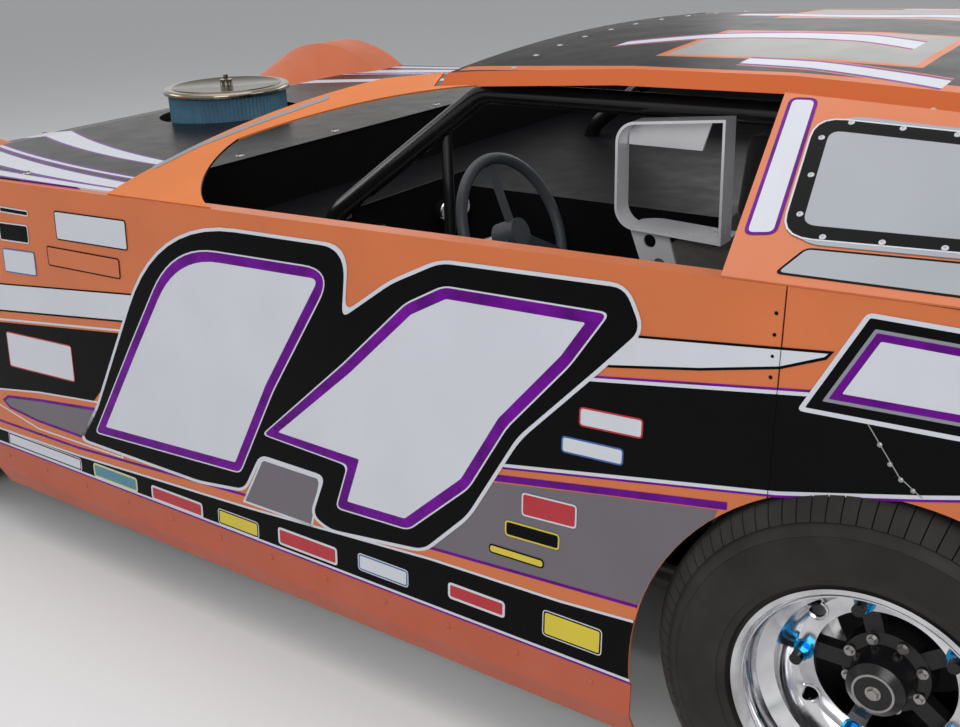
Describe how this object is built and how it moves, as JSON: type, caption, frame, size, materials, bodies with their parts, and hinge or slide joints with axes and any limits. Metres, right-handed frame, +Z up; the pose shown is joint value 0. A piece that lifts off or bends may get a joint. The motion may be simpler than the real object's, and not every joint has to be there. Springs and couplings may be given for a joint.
{
  "type": "dirt late model stock car",
  "caption": "Low wedge-shaped dirt-track stock car with open wheel arches, flat sides, roll cage, rear spoiler, rolling wheels and coupled front steering.",
  "frame": {"origin": "on the ground, under the middle of the car's length and width", "axes": "+X forward along the car, +Y to the car's left, +Z up"},
  "size_m": [5.08, 2.0618, 1.2275],
  "materials": {
    "body_paint": "gloss",
    "black_paint": "gloss",
    "black_tin": "gloss",
    "rocker_plastic": "satin",
    "nose_plastic": "gloss",
    "panel_silver": "satin",
    "cage_paint": "gloss",
    "frame_paint": "gloss",
    "bare_aluminium": "polished",
    "steel": "satin",
    "cast": "matte",
    "chrome_lid": "polished",
    "filter_blue": "matte",
    "tyre": "matte",
    "hub_black": "satin",
    "grip": "matte",
    "padding": "matte",
    "tank_plastic": "matte"
  },
  "bodies": {
    "chassis": {"a_pillars": "body_paint", "air_cleaner": "chrome_lid", "air_filter": "filter_blue", "bumpers": "frame_paint", "cockpit_tin": "black_tin", "coil_overs": "steel", "dash_panel": "black_tin", "door_left": "body_paint", "door_right": "body_paint", "driveshaft": "steel", "engine_block": "cast", "exhaust": "steel", "fender_left": "body_paint", "fender_right": "body_paint", "flares": "nose_plastic", "frame_rails": "frame_paint", "front_arms": "steel", "front_clip": "frame_paint", "fuel_cell": "tank_plastic", "head_pad": "padding", "head_restraint": "bare_aluminium", "hood": "black_paint", "nose": "nose_plastic", "quarter_left": "body_paint", "quarter_right": "body_paint", "rack_housing": "cast", "radiator": "bare_aluminium", "rear_axle": "cast", "rear_deck": "black_paint", "rear_links": "steel", "rockers": "rocker_plastic", "roll_cage": "cage_paint", "roof": "body_paint", "sail_left": "body_paint", "sail_right": "body_paint", "sail_windows": "panel_silver", "seat": "bare_aluminium", "seat_cushion": "padding", "spoiler": "body_paint", "steering_column": "steel", "tail_panel": "body_paint"},
    "knuckle_left": {"knuckle_left": "steel"},
    "knuckle_right": {"knuckle_right": "steel"},
    "rack": {"steering_rack": "steel"},
    "steering_wheel": {"steering_wheel": "grip"},
    "wheel_front_left": {"tyre_front_left": "tyre", "rim_front_left": "bare_aluminium", "hub_front_left": "hub_black"},
    "wheel_front_right": {"tyre_front_right": "tyre", "rim_front_right": "bare_aluminium", "hub_front_right": "hub_black"},
    "wheel_rear_left": {"tyre_rear_left": "tyre", "rim_rear_left": "bare_aluminium", "hub_rear_left": "hub_black"},
    "wheel_rear_right": {"tyre_rear_right": "tyre", "rim_rear_right": "bare_aluminium", "hub_rear_right": "hub_black"}
  },
  "joints": [
    {"name": "steer_left", "type": "hinge", "parent": "chassis", "child": "knuckle_left", "pos_m": [1.27, 0.668, 0.348], "axis": [0, 0, 1], "range_deg": [-25, 25]},
    {"name": "steer_right", "type": "hinge", "parent": "chassis", "child": "knuckle_right", "pos_m": [1.27, -0.668, 0.348], "axis": [0, 0, 1], "range_deg": [-25.2, 25.2]},
    {"name": "rack_slide", "type": "slide", "parent": "chassis", "child": "rack", "axis": [0, 1, 0], "range_m": [-0.064, 0.064]},
    {"name": "steering_wheel_turn", "type": "hinge", "parent": "chassis", "child": "steering_wheel", "pos_m": [-0.296, 0.345, 0.782], "axis": [-0.9272, 0, 0.3746], "range_deg": [-202, 202]},
    {"name": "wheel_front_left_spin", "type": "hinge", "parent": "knuckle_left", "child": "wheel_front_left", "pos_m": [1.27, 0.8325, 0.348], "axis": [0, 1, 0], "continuous": true},
    {"name": "wheel_front_right_spin", "type": "hinge", "parent": "knuckle_right", "child": "wheel_front_right", "pos_m": [1.27, -0.8325, 0.348], "axis": [0, 1, 0], "continuous": true},
    {"name": "wheel_rear_left_spin", "type": "hinge", "parent": "chassis", "child": "wheel_rear_left", "pos_m": [-1.346, 0.8325, 0.348], "axis": [0, 1, 0], "continuous": true},
    {"name": "wheel_rear_right_spin", "type": "hinge", "parent": "chassis", "child": "wheel_rear_right", "pos_m": [-1.346, -0.8325, 0.348], "axis": [0, 1, 0], "continuous": true}
  ],
  "couplings": [
    {"joint": "steer_right", "follows": "steer_left", "ratio": 1},
    {"joint": "rack_slide", "follows": "steer_left", "m_per_rad": 0.145},
    {"joint": "steering_wheel_turn", "follows": "steer_left", "ratio": 8}
  ]
}
